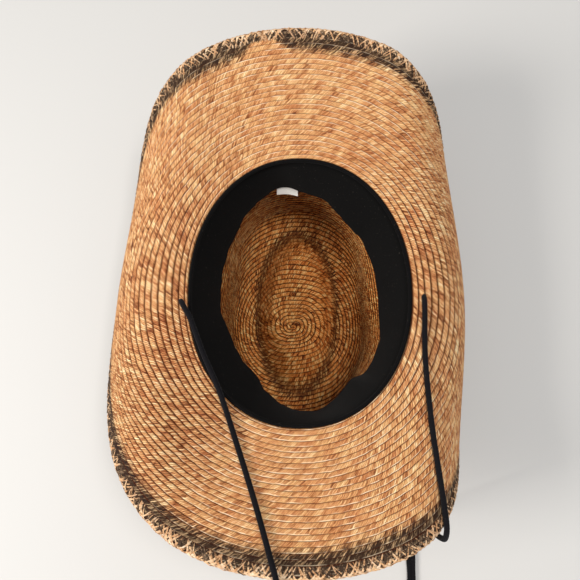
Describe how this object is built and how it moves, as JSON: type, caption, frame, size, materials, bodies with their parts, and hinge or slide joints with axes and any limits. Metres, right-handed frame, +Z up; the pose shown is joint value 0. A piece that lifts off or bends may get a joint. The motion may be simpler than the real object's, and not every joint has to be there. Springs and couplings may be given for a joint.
{
  "type": "straw cowboy hat with a chin cord",
  "caption": "Sewn straw-braid western hat lying on its creased crown, with rolled brim, laced edge, dark sweatband and a looped chin cord.",
  "frame": {"origin": "middle of the hat's outline, on the surface that its crown rests on, measured without the chin cord and its knots", "axes": "+Z up, out of the head opening; +Y towards the back of the hat; -Y towards its front; +X to the right as seen from above with the front nearest"},
  "size_m": [0.2964, 0.4845, 0.1535],
  "materials": {
    "crown_straw": "matte sewn straw braid",
    "brim_straw": "matte sewn straw braid",
    "laced_straw": "matte laced straw over a scorched edge",
    "band_fabric": "matte woven band",
    "tag_fabric": "soft woven label",
    "cord_braid": "matte braided cord"
  },
  "bodies": {
    "root": {"crown": "crown_straw", "brim": "brim_straw", "edge_braid": "laced_straw", "sweatband": "band_fabric", "sweatband_welt": "band_fabric", "size_tag": "tag_fabric", "chin_cord": "cord_braid", "cord_knot_left": "cord_braid", "cord_knot_right": "cord_braid"}
  },
  "joints": []
}
